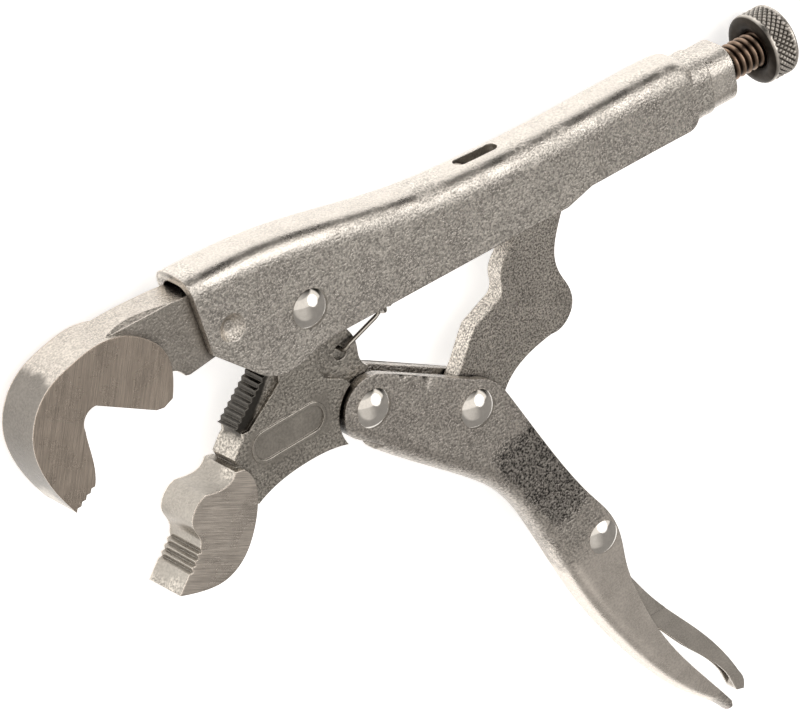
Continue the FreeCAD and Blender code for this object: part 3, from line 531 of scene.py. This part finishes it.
# The lower jaw has a smooth blank field, a brushed working side and dark teeth.
NOSE_NICKEL = NickelPlate(
    "nickel_plated_forging_pebbled", "#C4BEB5", "#332D27", 0.28, pebble=0.55,
    relief=0.16, contrast=0.48, side_shade_tone=0.78,
    brushing=Brushing(level=5.3, heading=-26.0, colour="#EBE1D6"),
    patches=(Patch((-9.6, -25.7, 0.0), (10.6, 4.6, 9.0), 1.2, 1.10, contrast=0.12),
             Patch((-37.0, -36.0, 0.0), (14.0, 6.0, 5.2), 60.0, 0.80, contrast=0.10),
             Patch((-17.5, -14.5, 0.0), (9.0, 3.4, 3.1), 57.0, 0.16, contrast=0.12)))
LINK_NICKEL = NickelPlate(
    "nickel_plated_plate_dull", "#D2CBC2", "#2F2A25", 0.30, pebble=0.42, relief=0.16,
    contrast=0.60, side_shade_tone=0.66)
LEVER_NICKEL = NickelPlate(
    "nickel_plated_thin_sheet", "#D0CAC2", "#332D28", 0.28, pebble=0.4, relief=0.05,
    edge=0.5, contrast=0.12)
BUSH_NICKEL = NickelPlate(
    "nickel_plated_bush", "#DAD4CC", "#332D28", 0.28, pebble=0.45, relief=0.16,
    contrast=0.25)
DOME_NICKEL = NickelPlate(
    "nickel_plated_rivet_polished", "#DEDAD4", "#25211D", 0.08, pebble=1.2,
    relief=0.004, edge=0.2, contrast=0.04)
WIRE_STEEL = NickelPlate(
    "bright_spring_wire", "#A39D95", "#1E1B18", 0.24, pebble=0.4, relief=0.004,
    edge=0.1, contrast=0.1)
THREAD_STEEL = CutSteel("cut_thread_dark_grooves", "#AE9683", "#1E140D", 4.0, 0.75)
KNURL_STEEL = CutSteel("nickel_plated_knurl", "#CFC9C1", "#3F3A35", 8.0, 0.5)


# ---------------------------------------------------------------------------------------------
# Mesh work
# ---------------------------------------------------------------------------------------------

def new_piece(name: str, points: list, faces: list, edges: list | None = None
              ) -> bpy.types.Object:
    """Make an object from points and faces that are already in place.

    Args:
        name: Name of the piece.
        points: Corners in metres.
        faces: Corner numbers of each face.
        edges: Corner numbers of loose edges, for a wire.

    Returns:
        The linked object.
    """
    mesh = bpy.data.meshes.new(name)
    mesh.from_pydata(points, edges or [], faces)
    piece = bpy.data.objects.new(name, mesh)
    bpy.context.scene.collection.objects.link(piece)
    return piece


def turned(name: str, profile: list[tuple[float, float]], columns: int) -> bpy.types.Object:
    """Turn a profile around the screw's axis into a closed mesh.

    Args:
        name: Name of the piece.
        profile: Distance along the screw and radius of each ring in mm. Both ends have radius 0.
        columns: Number of corners around.

    Returns:
        The turned piece.
    """
    first, last = profile[0], profile[-1]
    rings = profile[1:-1]
    points = [at(first[0], 0.0)]
    for x, radius in rings:
        for step in range(columns):
            angle = step * math.tau / columns
            points.append(at(x, radius * math.cos(angle), radius * math.sin(angle)))
    points.append(at(last[0], 0.0))
    faces = []
    end = len(points) - 1
    for step in range(columns):
        after = (step + 1) % columns
        faces.append((0, 1 + after, 1 + step))
        for ring in range(len(rings) - 1):
            near = 1 + ring * columns
            far = near + columns
            faces.append((near + step, near + after, far + after, far + step))
        base = 1 + (len(rings) - 1) * columns
        faces.append((base + step, base + after, end))
    return new_piece(name, points, faces)


def stretch(start: tuple[float, float], end: tuple[float, float], count: int
            ) -> list[tuple[float, float]]:
    """Divide a straight run of a profile evenly, without its last point."""
    return [(start[0] + (end[0] - start[0]) * i / count, start[1] + (end[1] - start[1]) * i / count)
            for i in range(count)]


def run_modifier(piece: bpy.types.Object, tree: bpy.types.NodeTree, values: dict) -> None:
    """Run a geometry tree on a piece and keep the result as its plain mesh.

    Args:
        piece: The piece, which keeps its name.
        tree: The geometry tree.
        values: Name of each input to its value.
    """
    modifier = piece.modifiers.new(tree.name, "NODES")
    modifier.node_group = tree
    for item in tree.interface.items_tree:
        if item.item_type == "SOCKET" and item.in_out == "INPUT" and item.name in values:
            modifier[item.identifier] = values[item.name]
    bpy.context.view_layer.update()
    graph = bpy.context.evaluated_depsgraph_get()
    mesh = bpy.data.meshes.new_from_object(piece.evaluated_get(graph))
    piece.modifiers.remove(modifier)
    piece.data = mesh


def new_tree(name: str, inputs: dict[str, str]) -> tuple[bpy.types.NodeTree, bpy.types.Node]:
    """Start a geometry tree with named inputs.

    Args:
        name: Name of the tree.
        inputs: Name of each input to its socket type.

    Returns:
        The tree and its input node.
    """
    tree = bpy.data.node_groups.new(name, "GeometryNodeTree")
    tree.interface.new_socket("Geometry", in_out="INPUT", socket_type="NodeSocketGeometry")
    for title, kind in inputs.items():
        tree.interface.new_socket(title, in_out="INPUT", socket_type=kind)
    tree.interface.new_socket("Geometry", in_out="OUTPUT", socket_type="NodeSocketGeometry")
    return tree, add(tree, "NodeGroupInput")


def end_tree(tree: bpy.types.NodeTree, geometry: bpy.types.NodeSocket,
             material: bpy.types.NodeSocket) -> None:
    """Finish a geometry tree: smooth shading, real geometry and its material.

    Args:
        tree: The geometry tree.
        geometry: What the tree has made.
        material: The material's socket.
    """
    smooth = add(tree, "GeometryNodeSetShadeSmooth", {"Geometry": geometry})
    real = add(tree, "GeometryNodeRealizeInstances", {0: smooth.outputs[0]})
    dressed = add(tree, "GeometryNodeSetMaterial",
                  {"Geometry": real.outputs[0], "Material": material})
    add(tree, "NodeGroupOutput", {0: dressed.outputs[0]})


class Cut(Enum):
    """The tool that cuts a relief into a turned surface."""

    THREAD = "one helical groove"
    KNURL = "two sets of crossing helical grooves"


def relief_tree(cut: Cut) -> bpy.types.NodeTree:
    """Build the tree that presses a thread or a diamond knurl into a turned surface.

    Args:
        cut: Thread or knurl.

    Returns:
        A tree with the inputs Axis, Pitch, Depth, Turns, Start, End, Fade and Material.
    """
    number = "NodeSocketFloat"
    tree, given = new_tree(f"{cut.name.lower()}_relief",
                           {"Axis": "NodeSocketVector", "Pitch": number, "Depth": number,
                            "Turns": number, "Start": number, "End": number, "Fade": number,
                            "Material": "NodeSocketMaterial"})
    get = given.outputs

    def maths(kind: str, a: object, b: object = 0.0, c: object = 0.0) -> bpy.types.NodeSocket:
        """Add one arithmetic step."""
        return add(tree, "ShaderNodeMath", {0: a, 1: b, 2: c}, operation=kind).outputs[0]

    def saw_height(phase: bpy.types.NodeSocket) -> bpy.types.NodeSocket:
        """Give 0 in the middle of a land and 1 in the middle of a groove."""
        return maths("MULTIPLY", maths("ABSOLUTE", maths("SUBTRACT", maths("FRACT", phase), 0.5)),
                     2.0)

    position = add(tree, "GeometryNodeInputPosition").outputs[0]
    local = add(tree, "ShaderNodeVectorMath", {0: position, 1: get["Axis"]}, operation="SUBTRACT")
    part = add(tree, "ShaderNodeSeparateXYZ", {0: local.outputs[0]}).outputs
    around = maths("DIVIDE", maths("ARCTAN2", part[2], part[1]), math.tau)
    turns = maths("MULTIPLY", around, get["Turns"])
    along = maths("DIVIDE", part[0], get["Pitch"])
    groove = saw_height(maths("SUBTRACT", along, turns))
    if cut is Cut.KNURL:
        groove = maths("MAXIMUM", groove, saw_height(maths("ADD", along, turns)))
    low, high = (0.42, 1.0) if cut is Cut.KNURL else (0.10, 0.92)
    shaped = add(tree, "ShaderNodeMapRange", {"Value": groove, "From Min": low, "From Max": high},
                 interpolation_type="LINEAR").outputs[0]
    enter = add(tree, "ShaderNodeMapRange",
                {"Value": part[0], "From Min": get["Start"],
                 "From Max": maths("ADD", get["Start"], get["Fade"])}).outputs[0]
    leave = add(tree, "ShaderNodeMapRange",
                {"Value": part[0], "From Min": get["End"],
                 "From Max": maths("SUBTRACT", get["End"], get["Fade"])}).outputs[0]
    outwards = add(tree, "ShaderNodeVectorMath", {0: local.outputs[0], 1: (0, 1, 1)},
                   operation="MULTIPLY")
    unit = add(tree, "ShaderNodeVectorMath", {0: outwards.outputs[0]}, operation="NORMALIZE")
    amount = maths("MULTIPLY", maths("MULTIPLY", shaped, get["Depth"]),
                   maths("MULTIPLY", enter, leave))
    offset = add(tree, "ShaderNodeVectorMath",
                 {0: unit.outputs[0], "Scale": maths("MULTIPLY", amount, -1.0)}, operation="SCALE")
    moved = add(tree, "GeometryNodeSetPosition",
                {"Geometry": get["Geometry"], "Offset": offset.outputs[0]})
    end_tree(tree, moved.outputs[0], get["Material"])
    return tree


def wire_tree() -> bpy.types.NodeTree:
    """Build the tree that sweeps round wire along a line of edges.

    Returns:
        A tree with the inputs Wire and Material.
    """
    tree, given = new_tree("round_wire", {"Wire": "NodeSocketFloat",
                                          "Material": "NodeSocketMaterial"})
    line = add(tree, "GeometryNodeMeshToCurve", {"Mesh": given.outputs["Geometry"]})
    ring = add(tree, "GeometryNodeCurvePrimitiveCircle",
               {"Resolution": 12, "Radius": given.outputs["Wire"]})
    swept = add(tree, "GeometryNodeCurveToMesh",
                {"Curve": line.outputs[0], "Profile Curve": ring.outputs[0], "Fill Caps": True})
    end_tree(tree, swept.outputs[0], given.outputs["Material"])
    return tree


# ---------------------------------------------------------------------------------------------
# Sub-assemblies
# ---------------------------------------------------------------------------------------------

def dress(node: str, material: bpy.types.Material) -> None:
    """Give a node of the frame its finish.

    Args:
        node: Name of the node.
        material: Its material.
    """
    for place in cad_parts[node].material_slots:
        place.material = material
    LOG.info("%s is dressed in %s", node, material.name)


@dataclass
class UpperHandle:
    """Pressed handle with the hooked jaw in its front and the bush in its neck."""

    def build(self) -> None:
        """Dress the fixed pieces."""
        dress("upper_handle", SHEET_NICKEL.build())
        dress("upper_jaw", HOOK_NICKEL.build())
        dress("threaded_bush", BUSH_NICKEL.build())


@dataclass
class LowerJaw:
    """Swinging forging with the toothed strip and the serrated nose."""

    def build(self) -> None:
        """Dress the forging."""
        dress("lower_jaw", NOSE_NICKEL.build())


@dataclass
class Grip:
    """Lower handle with its toggle link and release lever."""

    def build(self) -> None:
        """Dress the three sheet pieces."""
        dress("lower_handle", GRIP_NICKEL.build())
        dress("toggle_link", LINK_NICKEL.build())
        dress("release_lever", LEVER_NICKEL.build())


@dataclass
class Rivets:
    """The four rivets with domes on both sides."""

    names: tuple[str, ...] = ("main_rivet", "grip_rivet", "link_rivet", "lever_rivet")

    def build(self) -> None:
        """Dress the rivets in one polished finish."""
        polished = DOME_NICKEL.build()
        for name in self.names:
            dress(name, polished)


@dataclass
class Adjuster:
    """Threaded rod and knurled knob on the handle's axis.

    Attributes:
        pitch: Distance between two turns of the thread, in mm.
        thread_depth: Depth of the thread, in mm.
        cell: Size of a knurl diamond, in mm.
        knurl_depth: Depth of the knurl, in mm.
    """

    pitch: float = 1.75
    thread_depth: float = 0.75
    cell: float = 1.45
    knurl_depth: float = 0.5

    def span(self, node: str) -> tuple[float, float, float]:
        """Give a node's two ends along the screw and its radius, in mm from the datum."""
        low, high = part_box(node)
        return ((low.x - DATUM.x) / MM, (high.x - DATUM.x) / MM, (high.y - low.y) / 2 / MM)

    def build_screw(self) -> None:
        """Cut the thread into the rod."""
        start, end, radius = self.span("adjusting_screw")
        columns = 64
        rows = int((end - start) / self.pitch * 10)
        profile = [(start, 0.0), (start + 0.1, 1.0), (start + 0.4, 1.9), (start + 1.4, 3.1)]
        profile += stretch((start + 2.3, radius), (end - 0.4, radius), rows)
        profile += [(end - 0.4, radius), (end, radius - 0.4), (end, 1.5), (end, 0.0)]
        screw = turned("threaded_screw", profile, columns)
        run_modifier(screw, relief_tree(Cut.THREAD),
                     {"Axis": tuple(DATUM), "Pitch": self.pitch * MM,
                      "Depth": self.thread_depth * MM, "Turns": 1.0,
                      "Start": (start + 2.4) * MM, "End": (end - 0.5) * MM,
                      "Fade": self.pitch * MM, "Material": THREAD_STEEL.build()})
        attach(screw, "screw")
        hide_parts("adjusting_screw")

    def build_knob(self) -> None:
        """Turn the knob and press the knurl into its rim."""
        start, end, radius = self.span("adjusting_knob")
        bore = 4.05
        around = int(math.tau * radius / self.cell)
        columns = around * 8
        rim = (start + 1.3, end - 1.0)
        rows = int((rim[1] - rim[0]) / self.cell * 8)
        profile = [(end - 1.3, 0.0), (end - 1.3, bore * 0.6), (end - 1.3, bore)]
        profile += stretch((end - 1.4, bore), (start + 1.6, bore), 4)
        profile += [(start + 1.2, bore + 0.15), (start + 0.6, bore + 0.7), (start + 0.2, bore + 1.3),
                    (start + 0.03, bore + 1.75), (start, bore + 2.0), (start, radius - 1.7),
                    (start + 0.06, radius - 1.35), (start + 0.3, radius - 0.75),
                    (start + 0.7, radius - 0.25), (start + 1.1, radius - 0.03)]
        profile += stretch((rim[0], radius), (rim[1], radius), rows)
        profile += [(rim[1], radius), (end - 0.65, radius - 0.08), (end - 0.3, radius - 0.4),
                    (end - 0.07, radius - 0.9), (end, radius - 1.5), (end, radius * 0.4),
                    (end, 0.0)]
        knob = turned("knurled_knob", profile, columns)
        run_modifier(knob, relief_tree(Cut.KNURL),
                     {"Axis": tuple(DATUM), "Pitch": self.cell * MM,
                      "Depth": self.knurl_depth * MM, "Turns": float(around),
                      "Start": rim[0] * MM, "End": rim[1] * MM, "Fade": 0.5 * MM,
                      "Material": KNURL_STEEL.build()})
        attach(knob, "knob")
        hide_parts("adjusting_knob")

    def build(self) -> None:
        """Build the screw and its knob."""
        self.build_screw()
        self.build_knob()
        LOG.info("the adjuster has a thread and a knurled knob")


@dataclass
class TensionSpring:
    """Coil of wire from the ear of the lower jaw to the tab in the upper handle.

    Attributes:
        wire: Thickness of the wire, in mm.
        coil: Outer radius of the coils, in mm.
        eye: Place of the hole in the ear, in mm from the datum.
        first: Middle of the first coil.
        last: Middle of the last coil.
        pitch: Distance between two coils.
    """

    wire: float = 1.0
    coil: float = 2.9
    eye: tuple[float, float] = (7.8, -14.8)
    first: tuple[float, float] = (18.5, -11.4)
    last: tuple[float, float] = (44.4, 3.4)
    pitch: float = 1.75

    def line(self) -> list[Vector]:
        """Follow the wire's middle from the ear through the coils to the tab.

        Returns:
            Places along the wire, in metres.
        """
        start = Vector((*self.first, 0.0))
        end = Vector((*self.last, 0.0))
        along = (end - start).normalized()
        side = Vector((-along.y, along.x, 0.0))
        radius = self.coil - self.wire / 2
        eye = Vector((*self.eye, 0.0))
        near = Vector((0.0, 0.0, radius))
        points = [eye + Vector((0, 0, z)) for z in (-4.0, -3.4, -1.0, 1.0, 2.6, 3.2)]
        points.append(eye + Vector((0.5, 0.3, 3.55)))
        points.append(eye + Vector((1.3, 0.9, 3.55)))
        entry = start + near
        straight = (points[-1], entry - along * 1.0)
        points += [straight[0].lerp(straight[1], share) for share in (0.25, 0.5, 0.75, 1.0)]
        turns = (end - start).length / self.pitch
        steps = int(turns * 20)
        for step in range(steps + 1):
            angle = math.tau * turns * step / steps
            place = start + along * (self.pitch * turns * step / steps)
            points.append(place + near * math.cos(angle) + side * (radius * math.sin(angle)))
        points.append(end + side * 1.4 + along * 1.4)
        points.append(end + along * 2.4)
        return [at(*point) for point in points]

    def build(self) -> None:
        """Sweep the wire along its line."""
        points = self.line()
        edges = [(i, i + 1) for i in range(len(points) - 1)]
        spring = new_piece("coiled_tension_spring", points, [], edges)
        run_modifier(spring, wire_tree(), {"Wire": self.wire / 2 * MM,
                                           "Material": WIRE_STEEL.build()})
        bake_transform(spring)
        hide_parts("tension_spring")
        LOG.info("the spring has %d corners", len(spring.data.vertices))


# ---------------------------------------------------------------------------------------------
# Studio
# ---------------------------------------------------------------------------------------------

@dataclass
class Softbox:
    """One large round lamp.

    Attributes:
        name: Name of the lamp.
        direction: Where it stands as seen from the tool.
        distance: In metres.
        size: Width and height in metres.
        power: In watts.
        colour: sRGB colour.
    """

    name: str
    direction: tuple[float, float, float]
    distance: float
    size: tuple[float, float]
    power: float
    colour: str = "#FFFFFF"

    def build(self) -> None:
        """Hang the lamp so that it points at the tool."""
        lamp = bpy.data.lights.new(self.name, "AREA")
        lamp.shape = "ELLIPSE"
        lamp.size, lamp.size_y = self.size
        lamp.energy = self.power
        lamp.color = linear(self.colour)[:3]
        holder = bpy.data.objects.new(self.name, lamp)
        towards = Vector(self.direction).normalized()
        holder.location = DATUM + towards * self.distance
        holder.rotation_euler = towards.to_track_quat("Z", "Y").to_euler()
        bpy.context.scene.collection.objects.link(holder)


@dataclass
class Studio:
    """Pale bench, one soft lamp, a room with a dim horizon, and the camera.

    Attributes:
        azimuth: Of the camera as seen from the tool, in degrees from +X towards +Y.
        elevation: Of the camera, in degrees.
        upright: Level direction that points up in the view, in degrees.
        distance: From the aim to the camera, in mm.
        aim: What the camera looks at, in mm from the datum.
        lens: Focal length in mm.
        glow: Light that comes up through the bench.
        window_light: Brightness of the long window behind the bench.
        overhead: Direction of the lamp as seen from the tool.
    """

    azimuth: float = 134.284
    elevation: float = 47.0
    upright: float = 77.40
    distance: float = 1200.0
    aim: tuple[float, float, float] = (10.02, -11.06, 20.41)
    lens: float = 264.6
    glow: float = 0.62
    window_light: float = 1.12
    overhead: tuple[float, float, float] = (0.48, 0.22, 0.85)

    def build_camera(self) -> None:
        """Set the camera up."""
        flat = math.cos(math.radians(self.elevation))
        back = Vector((flat * math.cos(math.radians(self.azimuth)),
                       flat * math.sin(math.radians(self.azimuth)),
                       math.sin(math.radians(self.elevation))))
        level = Vector((math.cos(math.radians(self.upright)),
                        math.sin(math.radians(self.upright)), 0.0))
        right = level.cross(back).normalized()
        up = back.cross(right)
        lens = bpy.data.cameras.new("camera")
        lens.lens = self.lens
        lens.sensor_width = 36.0
        lens.clip_start = 0.05
        lens.clip_end = 50.0
        camera = bpy.data.objects.new("camera", lens)
        camera.matrix_world = (Matrix.Translation(at(*self.aim) + back * self.distance * MM)
                               @ Matrix((right, up, back)).transposed().to_4x4())
        bpy.context.scene.collection.objects.link(camera)
        bpy.context.scene.camera = camera

    def build_room(self) -> None:
        """Surround the bench with a soft ceiling, a long window and a dim horizon."""
        world = bpy.data.worlds.new("room")
        world.use_nodes = True
        tree = world.node_tree
        tree.nodes.clear()
        way = add(tree, "ShaderNodeTexCoord").outputs["Generated"]
        part = add(tree, "ShaderNodeSeparateXYZ", {0: way}).outputs
        rear = add(tree, "ShaderNodeMapRange",
                   {"Value": part[0], "From Min": -0.2, "From Max": 0.3,
                    "To Min": 0.74, "To Max": 0.35})
        ceiling = add(tree, "ShaderNodeMapRange",
                      {"Value": part[2], "From Min": 0.42, "From Max": 0.70,
                       "To Min": 0.03, "To Max": rear.outputs[0]},
                      interpolation_type="SMOOTHSTEP")
        open_side = add(tree, "ShaderNodeMapRange",
                        {"Value": part[1], "From Min": 0.28, "From Max": -0.20,
                         "To Min": 0.0, "To Max": 0.36}, interpolation_type="SMOOTHSTEP")
        below = add(tree, "ShaderNodeMapRange",
                    {"Value": part[2], "From Min": 0.02, "From Max": -0.02})
        above = add(tree, "ShaderNodeMath", {0: ceiling.outputs[0], 1: open_side.outputs[0]},
                    operation="MAXIMUM")
        light = add(tree, "ShaderNodeMath", {0: above.outputs[0], 1: below.outputs[0]},
                    operation="MAXIMUM")
        pane = self.window_light
        for value, low, high in ((part[1], -0.04, 0.08), (part[1], 0.68, 0.56),
                                 (part[2], 0.30, 0.42)):
            side = add(tree, "ShaderNodeMapRange",
                       {"Value": value, "From Min": low, "From Max": high},
                       interpolation_type="SMOOTHSTEP").outputs[0]
            pane = add(tree, "ShaderNodeMath", {0: pane, 1: side},
                       operation="MULTIPLY").outputs[0]
        light = add(tree, "ShaderNodeMath", {0: light.outputs[0], 1: pane},
                    operation="MAXIMUM")
        room = add(tree, "ShaderNodeBackground",
                   {"Color": linear("#FFFAF4"), "Strength": light.outputs[0]})
        add(tree, "ShaderNodeOutputWorld", {0: room.outputs[0]})
        bpy.context.scene.world = world

    def build_bench(self) -> None:
        """Lay the pale bench under the tool."""
        half = 1.6
        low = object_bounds()[0].z
        corners = [(-half, -half, low), (half, -half, low), (half, half, low), (-half, half, low)]
        bench = new_piece("bench", corners, [(0, 1, 2, 3)])
        material, tree = new_material("matt_white_board")
        where = add(tree, "ShaderNodeTexCoord").outputs["Object"]
        grain = noise(tree, where, 40.0, 3.0)
        tone = add(tree, "ShaderNodeMix",
                   {0: grain, 6: linear("#F7F6F4"), 7: linear("#FAF9F8")}, data_type="RGBA")
        shader = add(tree, "ShaderNodeBsdfPrincipled",
                     {"Base Color": tone.outputs[2], "Roughness": 0.7,
                      "Emission Color": linear("#FFFFFF"), "Emission Strength": self.glow})
        add(tree, "ShaderNodeOutputMaterial", {0: shader.outputs[0]})
        bench.data.materials.append(material)
        bench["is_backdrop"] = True

    def build(self) -> None:
        """Set up the bench, the room, the lamp and the camera."""
        self.build_bench()
        self.build_room()
        Softbox("overhead", self.overhead, 1.5, (1.2, 1.2), 4.5).build()
        self.build_camera()
        bpy.context.scene.view_settings.view_transform = "Standard"


def main() -> None:
    """Build every sub-assembly, then the studio."""
    logging.basicConfig(level=logging.INFO, format="%(message)s")
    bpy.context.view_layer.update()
    for part in (UpperHandle(), LowerJaw(), Grip(), Rivets(), Adjuster(), TensionSpring()):
        part.build()
        LOG.info("%s is built", type(part).__name__)
    Studio().build()


if __name__ == "__main__":
    main()
